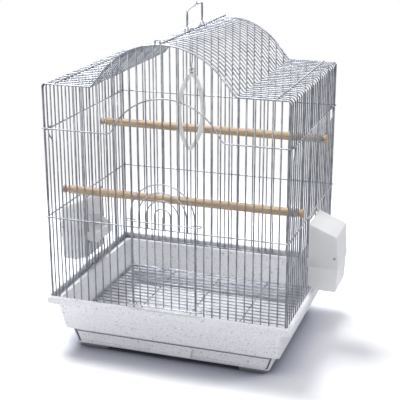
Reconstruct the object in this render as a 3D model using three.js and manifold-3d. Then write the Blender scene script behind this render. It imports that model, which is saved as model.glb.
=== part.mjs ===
// Arch top bird cage: a welded wire cage that stands in a moulded tub with a pull-out drawer.
// Millimetres, +Z up. Origin: centre of the cage in plan, on the plane the feet stand on.
// The front is towards -Y and the ridge of the arched roof runs along Y.
import * as THREE from 'three';
import { mergeVertices } from 'three/addons/utils/BufferGeometryUtils.js';
import Module from 'manifold-3d';

const wasm = await Module();
wasm.setup();

// Driving dimensions of the wire cage
const pitch = 12;
const frontSpaces = 30;
const sideSpaces = 24;
const wireRadius = 1.05;
const wireSides = 4;
const doorWireSides = 6;
const weldBite = 0.35;
const seatGap = 0.3;
const shoulderAboveRim = 322;
const archRise = 64;
const archHalfChord = 105;
const archRoundShare = 0.943852906553799;
const archSegments = 8;
const panelBendRadius = 4;
const roofBendRadius = 7;
const bendSegments = 2;
const shoulderWireInset = 19;
const upperBarAboveRim = 254;
const lowerBarAboveRim = 124;
const innerArchRise = 58;
const innerArchHalfChord = 88;
const innerArchSegments = 8;
const barHookLength = 1.6;
const hookInsetSpaces = 2;
const hookShift = 6;
const hookLeanDrop = 18;
const hookLeanHeight = 9;
const hookTailLength = 4;

// Moulded base
const footHeight = 8;
const footLength = 42;
const footDepth = 24;
const footInset = 6;
const housingFloor = 2;
const housingHeight = 26;
const housingWall = 2.4;
const housingSetBackX = 7.95;
const housingSetBackY = 5.95;
const housingDraftX = 9;
const housingDraftY = 3;
const housingCornerRadius = 4;
const tubFloor = 2.5;
const tubHeight = 58;
const tubWall = 2.6;
const tubDraftX = 7;
const tubDraftY = 9;
const tubCornerRadius = 4.5;
const rimHeight = 12;
const rimWidth = 6;
const rimOverhang = 12.5;
const rimEdge = 1.2;
const rimCornerRadius = 8;
const rimInnerRadius = 3;
const rimClearance = 1.4;
const ledgeDrop = 9.5;
const floorLedge = 17;
const cornerSegments = 3;

// Drawer
const drawerWall = 2;
const drawerFloor = 1.8;
const drawerClearance = 0.6;
const drawerFrontThickness = 3;
const drawerFaceInset = 1;
const pullHalfWidth = 31;
const pullSlant = 6;
const pullHeight = 18;
const pullBulge = 3;

// Floor grate
const grateWires = 22;
const grateFrontClearance = 5.5;
const grateSupportSpacing = 81.7;
const grateEndClearance = 2;

// Lift door
const doorWidthSpaces = 8;
const doorWireRadius = 0.95;
const doorRunningGap = 0.35;
const doorSillGap = 3;
const doorSpringHeight = 10;
const doorArchSegments = 8;
const doorMidAboveBar = 10;
const doorPullAboveSill = 65;
const doorPullDrop = 4.6;
const doorPullHalfWidth = 10;
const loopHalfLength = 6.2;
const loopOffset = 2.6;
const loopRadius = 4.8;
const loopSegments = 3;

// Feeders, one outside each side wall
const feederCentreSpaces = 13.5;
const feederOpeningSpaces = 5;
const feederSillHeight = 36;
const feederHeadRoom = 3;
const feederHalfWidth = 35.4;
const feederWall = 1.8;
const cupReach = 45.5;
const cupRimHeight = 41;
const cupShoulder = 12;
const cupFloorHeight = 6;
const cupBottomInset = 20;
const hoodReach = 46.6;
const hoodLean = 3.3;
const hoodBottom = 43;
const hoodOuterTop = 93.2;
const hoodInnerTop = 110.4;
const hoodPinReach = 41;
const hoodPinHeight = 60;
const hoodPinRadius = 1.2;
const hoodPinHeadRadius = 2.3;
const hoodPinHeadThickness = 0.9;
const pinSides = 8;
const earRadius = 2.1;
const lugReach = 7;
const lugBottom = 43;
const lugTop = 56;
const lugHookLength = 5;
const lugHookThickness = 1.8;
const sweepClearance = 1;
const arcSegments = 6;

// Perches
const perchRadius = 6.35;
const perchNeckRadius = 4.7;
const perchNeckLength = 6;
const perchEndLength = 6;
const perchChamfer = 1;
const perchSides = 12;
const upperPerchSpaces = 17;
const upperPerchAboveRim = 219;
const lowerPerchSpaces = 5;
const lowerPerchAboveRim = 147;

// Carrying handle
const handleRadius = 1.5;
const handleY = -6;
const handleHalfLength = 33;
const handleHeight = 34;
const handleLegFoot = 8;
const handleCornerRadius = 4;
const handleCrown = 1;
const handleBumpY = 6.6;
const handleBumpHalfWidth = 3.6;
const handleBumpHeight = 3.5;
const handleEndLength = 5;
const handleSides = 8;
const handleCurlSegments = 6;
const handleBendSegments = 3;

// Swing
const swingY = -18;
const swingTopBelowRidge = 61;
const swingHeight = 120;
const swingWidth = 46;
const swingBand = 7.5;
const swingThickness = 4;
const swingWireRadius = 0.9;
const swingLugRadius = 5;
const swingHoleRadius = 1.9;
const swingHookTail = 5;
const swingHookSegments = 6;
const swingEyeLean = 9;
const swingBowShare = 0.25;
const swingTipShare = 0.33;
const swingSegments = 6;

// Front hook on the arch
const frontHookX = -5;
const frontHookHalfWidth = 3.6;
const frontHookHeight = 6;

// Derived sizes
const quarter = Math.PI / 2;
const cageWidth = pitch * frontSpaces;
const cageDepth = pitch * sideSpaces;
const halfWidth = cageWidth / 2;
const halfDepth = cageDepth / 2;
const weldOffset = 2 * wireRadius - weldBite;
const housingTop = footHeight + housingHeight;
const rimTop = housingTop + tubHeight;
const ledgeZ = rimTop - ledgeDrop;
const wireBottom = ledgeZ + seatGap;
const shoulderZ = rimTop + shoulderAboveRim;
const upperBarZ = rimTop + upperBarAboveRim;
const lowerBarZ = rimTop + lowerBarAboveRim;
const ridgeZ = shoulderZ + archRise;
// At a share of 1 the arch is one arc from foot to foot, and below it the flanks are straight
const archRadius = (archRoundShare * (archHalfChord ** 2 + archRise ** 2)) / (2 * archRise);
const archFootHeight = archRadius - archRise;
const cornerWireGap = 2 * wireRadius + seatGap;
const overrun = 4;
const mergeTolerance = 0.0001;
const steepShare = 0.9;

// Materials
const metal = (color, roughness) => new THREE.MeshStandardMaterial({ color, roughness, metalness: 0.6 });
const plastic = (color, roughness) => new THREE.MeshStandardMaterial({ color, roughness, metalness: 0 });
const wireFinish = metal(0xb9bfca, 0.35);
const handleFinish = metal(0xc4c8ce, 0.3);
const tubPlastic = plastic(0xdadbe2, 0.5);
const drawerPlastic = plastic(0xd4d5dd, 0.5);
const feederPlastic = plastic(0xefeff2, 0.45);
const ringPlastic = plastic(0xd9d6d2, 0.5);
const birch = new THREE.MeshStandardMaterial({ color: 0xd8b88a, roughness: 0.75, metalness: 0 });

// Solids: a closed three.js geometry becomes a manifold, and back
function solid(geometry) {
  const bare = geometry.clone();
  bare.deleteAttribute('normal');
  bare.deleteAttribute('uv');
  const merged = mergeVertices(bare, mergeTolerance);
  const vertProperties = new Float32Array(merged.attributes.position.array);
  const triVerts = new Uint32Array(merged.index.array);
  return new wasm.Manifold(new wasm.Mesh({ numProp: 3, vertProperties, triVerts }));
}

function geometryOf(manifold) {
  const mesh = manifold.getMesh();
  const geometry = new THREE.BufferGeometry();
  geometry.setAttribute('position', new THREE.BufferAttribute(mesh.vertProperties, 3));
  geometry.setIndex(new THREE.BufferAttribute(mesh.triVerts, 1));
  geometry.computeVertexNormals();
  return geometry;
}

function joined(solids) {
  return solids.reduce((whole, next) => whole.add(next));
}

// A wire: a regular section swept along straight runs that meet in mitres.
// The section's corners lie on the round wire's surface, one of them square to the panel.
function wireGeometry(points, radius, sides) {
  const path = points.map((p) => new THREE.Vector3(...p));
  const runs = path.slice(1).map((p, i) => p.clone().sub(path[i]).normalize());
  const first = runs[0];
  const helper = Math.abs(first.y) > steepShare ? new THREE.Vector3(1, 0, 0) : new THREE.Vector3(0, 1, 0);
  const u = new THREE.Vector3().crossVectors(helper, first).normalize();
  const v = new THREE.Vector3().crossVectors(first, u);
  let ring = [];
  for (let k = 0; k < sides; k += 1) {
    const angle = (4 * quarter * k) / sides + quarter;
    const point = path[0].clone();
    point.addScaledVector(u, radius * Math.cos(angle));
    point.addScaledVector(v, radius * Math.sin(angle));
    ring.push(point);
  }
  const rings = [ring];
  for (let i = 1; i < path.length; i += 1) {
    const along = runs[i - 1];
    const plane = i < runs.length ? along.clone().add(runs[i]).normalize() : along.clone();
    ring = ring.map((point) => {
      const reach = path[i].clone().sub(point).dot(plane) / along.dot(plane);
      return point.clone().addScaledVector(along, reach);
    });
    rings.push(ring);
  }
  return loftGeometry(rings);
}

// A closed skin over rings of equal counts, capped at both ends
function loftGeometry(rings) {
  const count = rings[0].length;
  const positions = rings.flatMap((ring) => ring.flatMap((p) => [p.x, p.y, p.z]));
  const index = [];
  for (let i = 0; i < rings.length - 1; i += 1) {
    for (let k = 0; k < count; k += 1) {
      const a = i * count + k;
      const b = i * count + ((k + 1) % count);
      index.push(a, b, b + count, a, b + count, a + count);
    }
  }
  const last = (rings.length - 1) * count;
  for (let k = 1; k < count - 1; k += 1) {
    index.push(0, k + 1, k);
    index.push(last, last + k, last + k + 1);
  }
  const geometry = new THREE.BufferGeometry();
  geometry.setAttribute('position', new THREE.Float32BufferAttribute(positions, 3));
  geometry.setIndex(index);
  return geometry;
}

const wire = (points, radius = wireRadius, sides = wireSides) => solid(wireGeometry(points, radius, sides));

// Points of an arc in a plane given by its centre and two unit directions
function arcPoints(centre, radius, fromAngle, toAngle, segments, place) {
  const points = [];
  for (let i = 0; i <= segments; i += 1) {
    const angle = fromAngle + ((toAngle - fromAngle) * i) / segments;
    points.push(place(centre[0] + radius * Math.cos(angle), centre[1] + radius * Math.sin(angle)));
  }
  return points;
}

const inXZ = (y) => (a, b) => [a, y, b];
const inYZ = (x) => (a, b) => [x, a, b];
const planeXZ = (x, z) => [x, z];

// The roof line: up a wall, round the shoulder, up a straight flank, over the arch and down again
function roofLine(y, footZ, bendRadius) {
  const place = inXZ(y);
  const bendX = halfWidth - bendRadius;
  const bendZ = shoulderZ - bendRadius;
  const footAngle = Math.atan2(archFootHeight, archHalfChord);
  const flankAngle = footAngle + Math.acos(archRadius / Math.hypot(archHalfChord, archFootHeight));
  const centre = [0, ridgeZ - archRadius];
  return [
    place(-halfWidth, footZ),
    ...arcPoints([-bendX, bendZ], bendRadius, 2 * quarter, quarter, bendSegments, place),
    place(-archHalfChord, shoulderZ),
    ...arcPoints(centre, archRadius, 2 * quarter - flankAngle, flankAngle, archSegments, place),
    place(archHalfChord, shoulderZ),
    ...arcPoints([bendX, bendZ], bendRadius, quarter, 0, bendSegments, place),
    place(halfWidth, footZ),
  ];
}

// Height of the faceted roof line over a place across the cage
function roofHeight(x) {
  const line = roofLine(0, wireBottom, roofBendRadius);
  const next = line.findIndex((p) => p[0] > x);
  const [x0, , z0] = line[next - 1];
  const [x1, , z1] = line[next];
  return z0 + ((z1 - z0) * (x - x0)) / (x1 - x0);
}

// A bar on the outer side of a panel, with its ends turned back round the corner wires
function hookedBar(line) {
  const y = -weldOffset;
  const turnX = halfWidth + weldOffset;
  const z0 = line[0][1];
  const z1 = line[line.length - 1][1];
  const hookY = y + weldOffset - wireRadius + barHookLength;
  return wire([
    [-turnX, hookY, z0],
    [-turnX, y, z0],
    ...line.map(([x, z]) => [x, y, z]),
    [turnX, y, z1],
    [turnX, hookY, z1],
  ]);
}

// Front and back panels, built in their own plane with the outside towards -Y
const columnX = (i) => -halfWidth + i * pitch;
const doorFirstColumn = (frontSpaces - doorWidthSpaces) / 2;
const doorLastColumn = doorFirstColumn + doorWidthSpaces;
const bottomBarZ = wireBottom + wireRadius;

function innerArchLine() {
  const radius = (innerArchHalfChord ** 2 + innerArchRise ** 2) / (2 * innerArchRise);
  const halfAngle = Math.asin(innerArchHalfChord / radius);
  const centre = [0, upperBarZ + innerArchRise - radius];
  return arcPoints(centre, radius, quarter + halfAngle, quarter - halfAngle, innerArchSegments, planeXZ);
}

function endPanel({ hasDoor }) {
  const parts = [wire(roofLine(0, wireBottom, panelBendRadius))];
  for (let i = 1; i < frontSpaces; i += 1) {
    const x = columnX(i);
    const inDoor = hasDoor && i > doorFirstColumn && i < doorLastColumn;
    const foot = inDoor ? lowerBarZ - wireRadius : bottomBarZ;
    parts.push(wire([[x, 0, foot], [x, 0, roofHeight(x)]]));
  }
  parts.push(wire([[-halfWidth, 0, bottomBarZ], [halfWidth, 0, bottomBarZ]]));
  parts.push(hookedBar([[-halfWidth, lowerBarZ], [halfWidth, lowerBarZ]]));
  parts.push(hookedBar(hasDoor ? innerArchLine() : [[-halfWidth, upperBarZ], [halfWidth, upperBarZ]]));
  if (hasDoor) {
    const footZ = ridgeZ - wireRadius;
    const topZ = ridgeZ + frontHookHeight;
    const leftX = frontHookX - frontHookHalfWidth;
    const rightX = frontHookX + frontHookHalfWidth;
    parts.push(wire([[leftX, 0, footZ], [leftX, 0, topZ], [rightX, 0, topZ], [rightX, 0, footZ]]));
  }
  return joined(parts);
}

// Side panels: the end wires stand beside the corner wires, and two wires hook over the roof's bar
const sideEnd = halfDepth - cornerWireGap;
const sidePlace = (j) => (j === 0 ? -sideEnd : j === sideSpaces ? sideEnd : -halfDepth + j * pitch);
const hookColumns = [hookInsetSpaces, sideSpaces - hookInsetSpaces];
const feederY = sidePlace(feederCentreSpaces);

function sidePanel(side) {
  const parts = [];
  const top = upperBarZ - wireRadius - seatGap;
  const openingHalf = feederOpeningSpaces / 2;
  const sillZ = rimTop + feederSillHeight;
  const headZ = rimTop + hoodInnerTop + feederHeadRoom;
  for (let j = 0; j <= sideSpaces; j += 1) {
    const x = side * sidePlace(j);
    if (hookColumns.includes(j)) {
      parts.push(hookWire(x, top));
    } else if (Math.abs(j - feederCentreSpaces) < openingHalf) {
      parts.push(wire([[x, 0, bottomBarZ], [x, 0, sillZ]]));
      parts.push(wire([[x, 0, headZ], [x, 0, top]]));
    } else {
      parts.push(wire([[x, 0, bottomBarZ], [x, 0, top]]));
    }
  }
  const sillHalf = openingHalf * pitch;
  const sillX = side * feederY;
  for (const z of [sillZ, headZ]) {
    parts.push(wire([[sillX - sillHalf, 0, z], [sillX + sillHalf, 0, z]]));
  }
  parts.push(wire([[-sideEnd, 0, bottomBarZ], [sideEnd, 0, bottomBarZ]]));
  const barEnd = sideEnd + wireRadius;
  parts.push(wire([[-barEnd, -weldOffset, lowerBarZ], [barEnd, -weldOffset, lowerBarZ]]));
  return joined(parts);
}

// A side wire that leans half a space aside, passes outside the roof's bar and turns down behind it
function hookWire(x, top) {
  const aside = x + Math.sign(x) * hookShift;
  const reach = 2 * wireRadius + 2 * seatGap;
  const leanFoot = top - hookLeanDrop;
  const leanTop = leanFoot + hookLeanHeight;
  return wire([
    [x, 0, bottomBarZ],
    [x, 0, leanFoot],
    [aside, -reach, leanTop],
    [aside, -reach, upperBarZ],
    ...arcPoints([0, upperBarZ], reach, 2 * quarter, 0, bendSegments * 2, inYZ(aside)).slice(1, -1),
    [aside, reach, upperBarZ],
    [aside, reach, upperBarZ - hookTailLength],
  ]);
}

const ridgeWireZ = roofHeight(0) + weldOffset;

// Roof: bent wires over a ridge wire, two shoulder wires and a bottom bar on each side
function roof() {
  const parts = [];
  for (let j = 0; j <= sideSpaces; j += 1) {
    parts.push(wire(roofLine(sidePlace(j), upperBarZ, roofBendRadius)));
  }
  const lengthwise = (x, z, reach) => wire([[x, -reach, z], [x, reach, z]]);
  const barReach = sideEnd + wireRadius;
  parts.push(lengthwise(0, ridgeWireZ, barReach));
  for (const side of [-1, 1]) {
    parts.push(lengthwise(side * (halfWidth - shoulderWireInset), shoulderZ + weldOffset, barReach));
    parts.push(lengthwise(side * halfWidth, upperBarZ, barReach));
  }
  return joined(parts);
}

// Lift door: nested arches on a centre wire and three cross wires, with loops round its two guide wires
const doorHalf = (doorWidthSpaces / 2) * pitch;
const doorY = -(halfDepth + weldOffset + wireRadius + doorRunningGap + doorWireRadius);
const doorCrossY = doorY - 2 * doorWireRadius + weldBite;
const doorBottomZ = rimTop + doorSillGap;
const doorMidZ = lowerBarZ + doorMidAboveBar;
const doorPullZ = doorBottomZ + doorPullAboveSill;

function guideLoop(side, z) {
  const centreY = doorCrossY + loopRadius;
  const outerX = doorHalf + loopOffset + loopHalfLength - loopRadius;
  const innerX = doorHalf + loopOffset - loopHalfLength + loopRadius - wireRadius;
  const place = (x, y) => [side * x, y, z];
  return [
    ...arcPoints([outerX, centreY], loopRadius, -quarter, quarter, loopSegments, place),
    ...arcPoints([innerX, centreY], loopRadius, quarter, 2 * quarter, bendSegments, place),
  ];
}

function loopedCrossWire(z) {
  const left = guideLoop(-1, z).reverse();
  return wire([...left, ...guideLoop(1, z)], doorWireRadius);
}

function liftDoor() {
  const parts = [];
  const springZ = doorMidZ + doorSpringHeight;
  for (let n = 1; n <= doorWidthSpaces / 2; n += 1) {
    const radius = n * pitch;
    parts.push(wire([
      [-radius, doorY, doorBottomZ],
      ...arcPoints([0, springZ], radius, 2 * quarter, 0, doorArchSegments, inXZ(doorY)),
      [radius, doorY, doorBottomZ],
    ], doorWireRadius, doorWireSides));
  }
  parts.push(wire([[0, doorY, doorBottomZ], [0, doorY, springZ]], doorWireRadius, doorWireSides));
  parts.push(loopedCrossWire(doorMidZ));
  parts.push(loopedCrossWire(doorBottomZ + 2 * wireRadius));
  parts.push(wire([
    [-doorHalf - wireRadius, doorCrossY, doorPullZ],
    [-doorPullHalfWidth, doorCrossY, doorPullZ],
    [0, doorCrossY, doorPullZ - doorPullDrop],
    [doorPullHalfWidth, doorCrossY, doorPullZ],
    [doorHalf + wireRadius, doorCrossY, doorPullZ],
  ], doorWireRadius));
  return joined(parts);
}

// Moulded base: rounded rectangles lofted into the tub and the drawer housing
function roundedRing(halfX, halfY, radius, z, frontY = -halfY) {
  const ring = [];
  const corners = [[1, frontY, -1], [1, halfY, 0], [-1, halfY, 1], [-1, frontY, 2]];
  for (const [sideX, edgeY, turn] of corners) {
    const centreX = sideX * (halfX - radius);
    const centreY = edgeY > 0 ? edgeY - radius : edgeY + radius;
    for (let k = 0; k <= cornerSegments; k += 1) {
      const angle = (turn + k / cornerSegments) * quarter;
      const x = centreX + radius * Math.cos(angle);
      const y = centreY + radius * Math.sin(angle);
      ring.push(new THREE.Vector3(x, y, z));
    }
  }
  return ring;
}

const rimInnerX = halfWidth + wireRadius + rimClearance;
const rimInnerY = halfDepth + wireRadius + rimClearance;
const rimOuterX = rimInnerX + rimWidth;
const rimOuterY = rimInnerY + rimWidth;
const wallTopX = rimOuterX - rimOverhang;
const wallTopY = rimOuterY - rimOverhang;
const wallFootX = wallTopX - tubDraftX;
const wallFootY = wallTopY - tubDraftY;
const openingX = wallFootX - floorLedge;
const openingY = wallFootY - floorLedge;
const housingHalfWidth = wallFootX - housingSetBackX;
const housingHalfDepth = wallFootY - housingSetBackY;
const housingFootX = housingHalfWidth - housingDraftX;
const housingFootY = housingHalfDepth - housingDraftY;
const cavityFootX = housingFootX - housingWall;
const housingSlope = housingDraftX / (housingHeight + tubFloor / 2);
const cavityTopX = housingHalfWidth - housingWall - housingSlope * tubFloor;
const cavityBackFootY = housingFootY - housingWall;
const cavityBackTopY = housingHalfDepth - housingWall;
const cavityFloorZ = footHeight + housingFloor;

function baseTub() {
  const rimBottom = rimTop - rimHeight;
  const tub = solid(loftGeometry([
    roundedRing(wallFootX, wallFootY, tubCornerRadius, housingTop),
    roundedRing(wallTopX, wallTopY, tubCornerRadius, rimBottom),
    roundedRing(rimOuterX - rimEdge, rimOuterY - rimEdge, rimCornerRadius, rimBottom),
    roundedRing(rimOuterX, rimOuterY, rimCornerRadius, rimBottom + rimEdge),
    roundedRing(rimOuterX, rimOuterY, rimCornerRadius, rimTop - rimEdge),
    roundedRing(rimOuterX - rimEdge, rimOuterY - rimEdge, rimCornerRadius, rimTop),
    roundedRing(rimInnerX + rimEdge, rimInnerY + rimEdge, rimInnerRadius, rimTop),
    roundedRing(rimInnerX, rimInnerY, rimInnerRadius, rimTop - rimEdge),
    roundedRing(rimInnerX, rimInnerY, rimInnerRadius, ledgeZ),
    roundedRing(wallTopX - tubWall, wallTopY - tubWall, tubCornerRadius - tubWall, ledgeZ),
    roundedRing(wallFootX - tubWall, wallFootY - tubWall, tubCornerRadius - tubWall, housingTop + tubFloor),
  ]));
  const housing = solid(loftGeometry([
    roundedRing(housingFootX, housingFootY, housingCornerRadius, footHeight),
    roundedRing(housingHalfWidth, housingHalfDepth, housingCornerRadius, housingTop + tubFloor / 2),
  ]));
  const mouthY = -(housingHalfDepth + overrun);
  const drawerSpace = solid(loftGeometry([
    roundedRing(cavityFootX, cavityBackFootY, housingWall, cavityFloorZ, mouthY),
    roundedRing(cavityTopX, cavityBackTopY, housingWall, housingTop, mouthY),
  ]));
  const window = solid(loftGeometry([
    roundedRing(openingX, openingY, tubCornerRadius, housingTop - overrun),
    roundedRing(openingX, openingY, tubCornerRadius, housingTop + tubFloor + overrun),
  ]));
  let base = tub.add(housing).subtract(drawerSpace).subtract(window);
  for (const sideX of [-1, 1]) {
    for (const sideY of [-1, 1]) {
      base = base.add(foot(sideX, sideY));
    }
  }
  return base;
}

function foot(sideX, sideY) {
  const height = footHeight + housingFloor / 2;
  const box = new THREE.BoxGeometry(footLength, footDepth, height);
  const x = sideX * (housingFootX - footInset - footLength / 2);
  const y = sideY * (housingFootY - footInset - footDepth / 2);
  return solid(box.translate(x, y, height / 2));
}

// Drawer: a shallow tray whose front stands back in the housing, with a slant-ended finger pull
function drawer() {
  const footX = cavityFootX - drawerClearance;
  const topX = cavityTopX - drawerClearance;
  const backY = cavityBackFootY - drawerClearance;
  const floorZ = cavityFloorZ + seatGap;
  const topZ = housingTop - seatGap * 2;
  const faceY = drawerFaceInset - housingFootY;
  const innerX = footX - drawerWall;
  const innerTopX = topX - drawerWall;
  const innerBackY = backY - drawerWall;
  const innerFrontY = faceY + drawerFrontThickness;
  const tray = solid(loftGeometry([
    roundedRing(footX, backY, housingWall, floorZ, faceY),
    roundedRing(topX, backY, housingWall, topZ, faceY),
  ]));
  const hollow = solid(loftGeometry([
    roundedRing(innerX, innerBackY, housingWall, floorZ + drawerFloor, innerFrontY),
    roundedRing(innerTopX, innerBackY, housingWall, topZ + overrun, innerFrontY),
  ]));
  const pullTopHalf = pullHalfWidth + pullSlant;
  const pull = plate([
    [-pullHalfWidth, floorZ],
    [pullHalfWidth, floorZ],
    [pullTopHalf, floorZ + pullHeight],
    [-pullTopHalf, floorZ + pullHeight],
  ], faceY - pullBulge, faceY + drawerFrontThickness / 2);
  return tray.subtract(hollow).add(pull);
}

// An outline in X and Z given a thickness along Y
function plate(outline, fromY, toY) {
  const shape = new THREE.Shape(outline.map(([x, z]) => new THREE.Vector2(x, z)));
  const body = new THREE.ExtrudeGeometry(shape, { depth: toY - fromY, bevelEnabled: false });
  return solid(body.rotateX(quarter).translate(0, toY, 0));
}

// Floor grate: cross wires on three bearers, closed by an end wire on each side
const bearerZ = housingTop + tubFloor + seatGap + wireRadius;
const grateEndX = wallFootX - tubWall - grateEndClearance - wireRadius;
const grateEndY = wallFootY - tubWall - grateFrontClearance;
const gratePitch = (2 * grateEndY) / (grateWires - 1);

function floorGrate() {
  const parts = [];
  const wireZ = bearerZ + weldOffset;
  for (let i = 0; i < grateWires; i += 1) {
    const y = -grateEndY + i * gratePitch;
    parts.push(wire([[-grateEndX, y, wireZ], [grateEndX, y, wireZ]]));
  }
  for (const side of [-1, 0, 1]) {
    const x = side * grateSupportSpacing;
    const reach = grateEndY + wireRadius;
    parts.push(wire([[x, -reach, bearerZ], [x, reach, bearerZ]]));
  }
  for (const side of [-1, 1]) {
    const reach = grateEndY + wireRadius;
    parts.push(wire([[side * grateEndX, -reach, wireZ], [side * grateEndX, reach, wireZ]]));
  }
  return joined(parts);
}

// Feeder: built with +X away from the wall's wires and z from the tub's rim
const feederInner = wireRadius + seatGap;
const cupHalfWidth = feederHalfWidth - feederWall - seatGap;
const hoodTopX = hoodReach - hoodLean;
const hoodSlope = (hoodInnerTop - hoodOuterTop) / (hoodTopX - feederInner);

function feederCup() {
  const wall = feederWall;
  const body = plate([
    [feederInner, cupRimHeight],
    [feederInner, cupShoulder],
    [cupBottomInset, cupFloorHeight],
    [cupReach - wall, cupFloorHeight],
    [cupReach, cupRimHeight],
  ], -cupHalfWidth, cupHalfWidth);
  const hollow = plate([
    [feederInner + wall, cupRimHeight + overrun],
    [feederInner + wall, cupShoulder + wall / 2],
    [cupBottomInset + wall / 2, cupFloorHeight + wall],
    [cupReach - 2 * wall, cupFloorHeight + wall],
    [cupReach - wall, cupRimHeight + overrun],
  ], wall - cupHalfWidth, cupHalfWidth - wall);
  let cup = body.subtract(hollow);
  for (const side of [-1, 1]) {
    cup = cup.add(feederEar(side)).add(wallHook(side));
  }
  return cup;
}

// An ear that carries the hood's pin, scooped out below it where the hood's skirt swings through
function feederEar(side) {
  const pin = [hoodPinReach, hoodPinHeight];
  const skirt = Math.hypot(hoodReach - hoodPinReach, hoodPinHeight - hoodBottom) + sweepClearance;
  const footZ = cupRimHeight - feederWall;
  const high = -2 * quarter + Math.asin(earRadius / skirt);
  const outline = [
    [feederInner, footZ],
    [hoodPinReach, footZ],
    ...arcPoints(pin, skirt, -quarter, high, arcSegments, planeXZ),
    ...arcPoints(pin, earRadius, -quarter, quarter, arcSegments, planeXZ),
    [feederInner, hoodPinHeight + earRadius],
  ];
  const inner = cupHalfWidth - feederWall;
  const ear = side > 0 ? plate(outline, inner, cupHalfWidth) : plate(outline, -cupHalfWidth, -inner);
  return ear.subtract(pinBore(side, hoodPinRadius + seatGap / 2));
}

function pinBore(side, radius) {
  const depth = feederWall * 2 + overrun;
  const bore = new THREE.CylinderGeometry(radius, radius, depth, pinSides);
  return solid(bore.translate(hoodPinReach, side * (feederHalfWidth - feederWall), hoodPinHeight));
}

// A lug that passes between the wall's wires and turns behind one of them
function wallHook(side) {
  const outline = [
    [feederInner + feederWall, lugBottom - feederWall],
    [feederInner + feederWall, lugTop],
    [-lugReach, lugTop - feederWall],
    [-lugReach, lugBottom],
    [feederInner, lugBottom - feederWall],
  ];
  const inner = cupHalfWidth - feederWall;
  const lug = side > 0 ? plate(outline, inner, cupHalfWidth) : plate(outline, -cupHalfWidth, -inner);
  const behind = wireRadius + seatGap;
  const tongue = [
    [-behind, lugTop - feederWall],
    [-behind - lugHookThickness, lugTop - feederWall],
    [-behind - lugHookThickness, lugBottom],
    [-behind, lugBottom],
  ].reverse();
  const inwards = inner - lugHookLength;
  const outwards = inner + weldBite;
  const catchPlate = side > 0 ? plate(tongue, inwards, outwards) : plate(tongue, -outwards, -inwards);
  return lug.add(catchPlate);
}

function feederHood() {
  const wall = feederWall;
  const swing = hoodPinReach - feederInner;
  const pin = [hoodPinReach, hoodPinHeight];
  const footAngle = 2 * quarter + Math.asin((hoodPinHeight - hoodBottom) / swing);
  const body = plate([
    [hoodReach, hoodBottom],
    [hoodTopX, hoodOuterTop],
    [feederInner, hoodInnerTop],
    ...arcPoints(pin, swing, 2 * quarter, footAngle, arcSegments / 2, planeXZ),
  ], -feederHalfWidth, feederHalfWidth);
  const hollow = plate([
    [hoodReach - wall, hoodBottom - overrun],
    [hoodTopX - wall, hoodOuterTop - wall],
    [feederInner - overrun, hoodInnerTop - wall + overrun * hoodSlope],
    [feederInner - overrun, hoodBottom - overrun],
  ], wall - feederHalfWidth, feederHalfWidth - wall);
  let hood = body.subtract(hollow);
  for (const side of [-1, 1]) {
    hood = hood.subtract(pinBore(side, hoodPinRadius + seatGap / 2));
  }
  return hood;
}

// A headed pin through the hood's cheek and the cup's ear
function hoodPin(side) {
  const inner = cupHalfWidth - feederWall;
  const outer = feederHalfWidth + seatGap + hoodPinHeadThickness / 2;
  const shankLength = outer - inner;
  const shank = new THREE.CylinderGeometry(hoodPinRadius, hoodPinRadius, shankLength, pinSides);
  const middle = (outer + inner) / 2;
  const thickness = hoodPinHeadThickness;
  const head = new THREE.CylinderGeometry(hoodPinHeadRadius, hoodPinHeadRadius, thickness, pinSides);
  shank.translate(hoodPinReach, side * middle, hoodPinHeight);
  head.translate(hoodPinReach, side * outer, hoodPinHeight);
  return solid(shank).add(solid(head));
}

// Perch: a turned dowel with a neck at each end that sits between two wires
function perch() {
  const neck = perchNeckLength / 2;
  const end = halfWidth + neck + perchEndLength;
  const half = [
    [0, end],
    [perchRadius - perchChamfer, end],
    [perchRadius, end - perchChamfer],
    [perchRadius, halfWidth + neck],
    [perchNeckRadius, halfWidth + neck - perchChamfer],
    [perchNeckRadius, halfWidth - neck + perchChamfer],
    [perchRadius, halfWidth - neck],
  ];
  const profile = [
    ...half.map(([r, x]) => new THREE.Vector2(r, -x)),
    ...half.reverse().map(([r, x]) => new THREE.Vector2(r, x)),
  ];
  return solid(new THREE.LatheGeometry(profile, perchSides).rotateZ(-quarter));
}

// Carrying handle: a bail whose feet curl under the ridge wire, with a small bump in its top
function carryHandle() {
  const curl = wireRadius + 2 * seatGap + handleRadius;
  const r = handleCornerRadius;
  const half = handleHalfLength;
  const bendZ = handleHeight - r;
  const crownZ = handleHeight + handleCrown;
  const foot = (y) => [
    [-curl, y, handleEndLength],
    ...arcPoints([0, 0], curl, 2 * quarter, 4 * quarter, handleCurlSegments, inXZ(y)),
    [0, y, handleLegFoot],
  ];
  return wire([
    ...foot(-half),
    ...arcPoints([r - half, bendZ], r, 2 * quarter, quarter, handleBendSegments, inYZ(0)),
    [0, handleBumpY - handleBumpHalfWidth, crownZ],
    [0, handleBumpY, handleHeight + handleBumpHeight],
    [0, handleBumpY + handleBumpHalfWidth, crownZ],
    ...arcPoints([half - r, bendZ], r, quarter, 0, handleBendSegments, inYZ(0)),
    ...foot(half).reverse(),
  ], handleRadius, handleSides);
}

// Swing: a pointed oval ring on a wire that hooks over the ridge wire, z from the ridge wire
const swingTopZ = -swingTopBelowRidge;
const swingHoleZ = swingTopZ + swingHoleRadius;

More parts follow.
